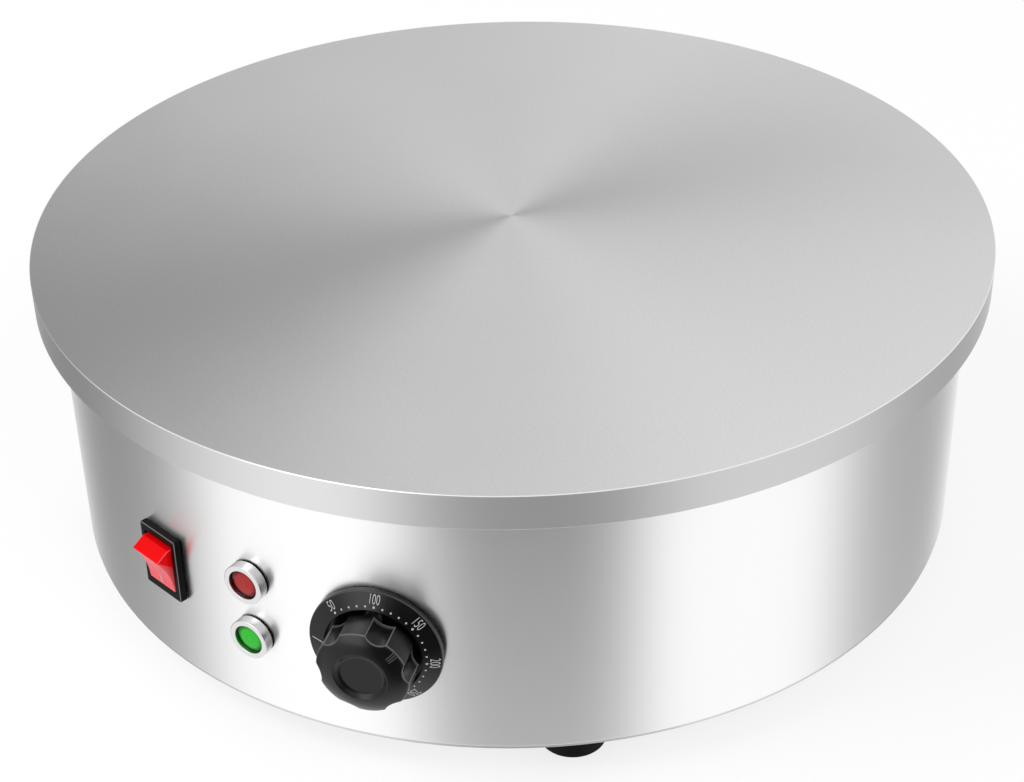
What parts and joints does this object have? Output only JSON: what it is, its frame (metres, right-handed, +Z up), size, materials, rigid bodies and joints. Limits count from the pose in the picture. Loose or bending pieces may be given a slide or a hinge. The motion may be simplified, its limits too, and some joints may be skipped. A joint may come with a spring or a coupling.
{
  "type": "electric crepe maker",
  "caption": "Round electric crepe maker: a flat griddle plate on a stainless drum with a rocker switch, pilot lamps, a temperature knob and rubber feet.",
  "frame": {"origin": "centre of the base, on the surface that the rubber feet stand on", "axes": "+Z up through the griddle plate; -Y towards the side with the pilot lamps; +Y towards the cable gland; +X to the right of someone facing the lamps"},
  "size_m": [0.3999, 0.4151, 0.1403],
  "materials": {
    "griddle_iron": "ground satin cast iron",
    "element_sheath": "heat-darkened alloy sheath",
    "ceramic": "unglazed steatite",
    "zinc_steel": "zinc-plated steel",
    "insulation": "mineral fibre board",
    "copper": "drawn copper",
    "stainless": "horizontally brushed stainless steel",
    "black_plastic": "satin black thermoset",
    "dark_plastic": "dark moulded plastic",
    "red_plastic": "glossy red plastic",
    "brass": "bare brass",
    "black_rubber": "moulded rubber",
    "bezel_chrome": "bright chrome",
    "red_lens": "clear red plastic",
    "green_lens": "clear green plastic",
    "green_insulation": "green wire insulation",
    "brown_insulation": "brown wire insulation",
    "blue_insulation": "blue wire insulation",
    "white_insulation": "white wire insulation"
  },
  "bodies": {
    "base": {"griddle_plate": "griddle_iron", "heating_element": "element_sheath", "element_bushings": "ceramic", "element_clamp_bars": "zinc_steel", "tie_rods": "zinc_steel", "clamp_nuts": "zinc_steel", "tray_nuts": "zinc_steel", "base_washers": "zinc_steel", "base_nuts": "zinc_steel", "insulation_pad": "insulation", "heat_tray": "zinc_steel", "bulb_clip": "zinc_steel", "bulb_clip_screws": "zinc_steel", "thermostat_bulb": "copper", "thermostat_capillary": "copper", "drum_shell": "stainless", "base_pan": "stainless", "foot_screws": "zinc_steel", "foot_washers": "zinc_steel", "foot_nuts": "zinc_steel", "switch_housing": "black_plastic", "switch_terminals": "brass", "thermostat_body": "dark_plastic", "thermostat_terminals": "brass", "dial_screws": "zinc_steel", "dial_plate": "black_plastic", "gland_body": "black_plastic", "gland_dome_nut": "black_plastic", "gland_seal": "black_rubber", "gland_locknut": "black_plastic", "terminal_block": "ceramic", "terminal_block_screws": "zinc_steel", "earth_stud": "brass", "earth_nut": "brass", "earth_wire": "green_insulation", "supply_live_wire": "brown_insulation", "supply_neutral_wire": "blue_insulation", "switched_live_wire": "brown_insulation", "element_live_wire": "brown_insulation", "element_neutral_wire": "blue_insulation", "lamp_leads": "white_insulation", "rubber_foot_1": "black_rubber", "rubber_foot_2": "black_rubber", "rubber_foot_3": "black_rubber", "rubber_foot_4": "black_rubber", "red_lamp_gasket": "black_rubber", "red_lamp_bezel": "bezel_chrome", "red_lamp_lens": "red_lens", "red_lamp_body": "dark_plastic", "red_lamp_nut": "dark_plastic", "green_lamp_gasket": "black_rubber", "green_lamp_bezel": "bezel_chrome", "green_lamp_lens": "green_lens", "green_lamp_body": "dark_plastic", "green_lamp_nut": "dark_plastic"},
    "knob": {"control_knob": "black_plastic", "thermostat_shaft": "zinc_steel"},
    "rocker": {"switch_rocker": "red_plastic"}
  },
  "joints": [
    {"name": "knob_turn", "type": "hinge", "parent": "base", "child": "knob", "pos_m": [0.05224, -0.1834, 0.0629], "axis": [0.274, -0.9617, 0], "range_deg": [-138.5, 138.5]},
    {"name": "rocker_tilt", "type": "hinge", "parent": "base", "child": "rocker", "pos_m": [-0.04608, -0.18618, 0.0649], "axis": [-0.9707, 0.2402, 0], "range_deg": [0, 41]}
  ]
}
